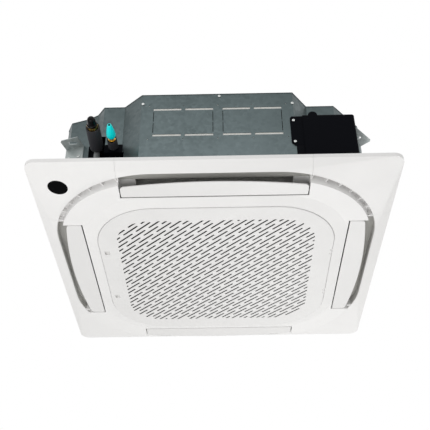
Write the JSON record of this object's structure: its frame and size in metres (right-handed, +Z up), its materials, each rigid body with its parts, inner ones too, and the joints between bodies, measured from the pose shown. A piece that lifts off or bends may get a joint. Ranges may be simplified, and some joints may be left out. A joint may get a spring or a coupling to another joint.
{
  "type": "ceiling cassette air conditioner",
  "caption": "Ceiling cassette air conditioner: square panel with a hinged perforated intake grille and a swinging louver on each side, below a steel casing with fan, coil and drain pan.",
  "frame": {"origin": "centre of the intake grille's lower face, at the lowest level of the part and midway between its sides", "axes": "+Z up to the ceiling, the pipe side faces -Y, and +X is on the right of a viewer who faces the pipe side"},
  "size_m": [0.95, 0.95, 0.3232],
  "materials": {
    "panel_abs": "satin",
    "louver_abs": "satin",
    "receiver_black": "gloss",
    "circuit_board": "satin",
    "bush_acetal": "satin",
    "motor_can": "satin",
    "pin_steel": "polished",
    "filter_frame": "matte",
    "filter_mesh": "matte",
    "galvanised_casing": "satin",
    "galvanised_bracket": "satin",
    "zinc_screw": "satin",
    "seal_foam": "matte",
    "polystyrene_foam": "matte",
    "fin_aluminium": "satin",
    "copper_tube": "polished",
    "bell_plastic": "satin",
    "motor_housing": "matte",
    "mount_rubber": "matte",
    "fan_plastic": "satin",
    "pump_plastic": "satin",
    "hose_rubber": "matte",
    "drain_plastic": "satin",
    "float_plastic": "satin",
    "insulation_foam": "matte",
    "nut_brass": "polished",
    "cap_black": "satin",
    "cap_cyan": "gloss",
    "box_black": "satin",
    "terminal_plastic": "satin"
  },
  "bodies": {
    "unit": {"panel_frame": "panel_abs", "corner_cover_front_left": "panel_abs", "corner_cover_front_right": "panel_abs", "corner_cover_back_right": "panel_abs", "corner_cover_back_left": "panel_abs", "receiver_window": "receiver_black", "receiver_board": "circuit_board", "louver_bushes": "bush_acetal", "louver_motors": "motor_can", "grille_hinge_pins": "pin_steel", "cabinet_shell": "galvanised_casing", "top_plate": "galvanised_casing", "hanger_bracket_front_left": "galvanised_bracket", "hanger_bracket_front_right": "galvanised_bracket", "hanger_bracket_back_right": "galvanised_bracket", "hanger_bracket_back_left": "galvanised_bracket", "casing_screws": "zinc_screw", "panel_screws": "zinc_screw", "panel_seal": "seal_foam", "foam_liner": "polystyrene_foam", "evaporator_fins": "fin_aluminium", "coil_end_plates": "galvanised_bracket", "coil_bends": "copper_tube", "drain_pan": "polystyrene_foam", "bell_mouth": "bell_plastic", "fan_motor": "motor_housing", "motor_mounts": "mount_rubber", "motor_nuts": "zinc_screw", "drain_pump": "pump_plastic", "drain_hose": "hose_rubber", "drain_outlet": "drain_plastic", "float_switch": "float_plastic", "suction_header": "copper_tube", "liquid_distributor": "copper_tube", "gas_pipe": "copper_tube", "liquid_pipe": "copper_tube", "pipe_insulation": "insulation_foam", "flare_nuts": "nut_brass", "gas_cap": "cap_black", "liquid_cap": "cap_cyan", "pipe_tray": "box_black", "wiring_box_cover": "box_black", "wiring_base": "galvanised_bracket", "terminal_block": "terminal_plastic", "control_box": "galvanised_bracket", "control_box_lid": "galvanised_bracket", "control_board": "circuit_board"},
    "front_louver": {"louver_front": "louver_abs"},
    "right_louver": {"louver_right": "louver_abs"},
    "back_louver": {"louver_back": "louver_abs"},
    "left_louver": {"louver_left": "louver_abs"},
    "grille": {"intake_grille": "panel_abs", "air_filter": "filter_frame", "filter_net": "filter_mesh"},
    "front_latch": {"grille_latch_front": "louver_abs"},
    "back_latch": {"grille_latch_back": "louver_abs"},
    "fan": {"fan_wheel": "fan_plastic", "motor_shaft": "pin_steel", "fan_nut": "zinc_screw"},
    "float": {"float_ring": "pump_plastic"}
  },
  "joints": [
    {"name": "front_louver_swing", "type": "hinge", "parent": "unit", "child": "front_louver", "pos_m": [0, -0.372, 0.02], "axis": [1, 0, 0], "range_deg": [0, 55]},
    {"name": "right_louver_swing", "type": "hinge", "parent": "unit", "child": "right_louver", "pos_m": [0.372, 0, 0.02], "axis": [0, 1, 0], "range_deg": [0, 55]},
    {"name": "back_louver_swing", "type": "hinge", "parent": "unit", "child": "back_louver", "pos_m": [0, 0.372, 0.02], "axis": [-1, 0, 0], "range_deg": [0, 55]},
    {"name": "left_louver_swing", "type": "hinge", "parent": "unit", "child": "left_louver", "pos_m": [-0.372, 0, 0.02], "axis": [0, -1, 0], "range_deg": [0, 55]},
    {"name": "grille_hinge", "type": "hinge", "parent": "unit", "child": "grille", "pos_m": [0.3235, 0, 0.0025], "axis": [0, -1, 0], "range_deg": [0, 70]},
    {"name": "front_latch_slide", "type": "slide", "parent": "grille", "child": "front_latch", "axis": [-1, 0, 0], "range_m": [0, 0.005]},
    {"name": "back_latch_slide", "type": "slide", "parent": "grille", "child": "back_latch", "axis": [-1, 0, 0], "range_m": [0, 0.005]},
    {"name": "fan_spin", "type": "hinge", "parent": "unit", "child": "fan", "pos_m": [0, 0, 0.2], "axis": [0, 0, 1], "continuous": true},
    {"name": "float_rise", "type": "slide", "parent": "unit", "child": "float", "axis": [0, 0, 1], "range_m": [0, 0.008]}
  ]
}
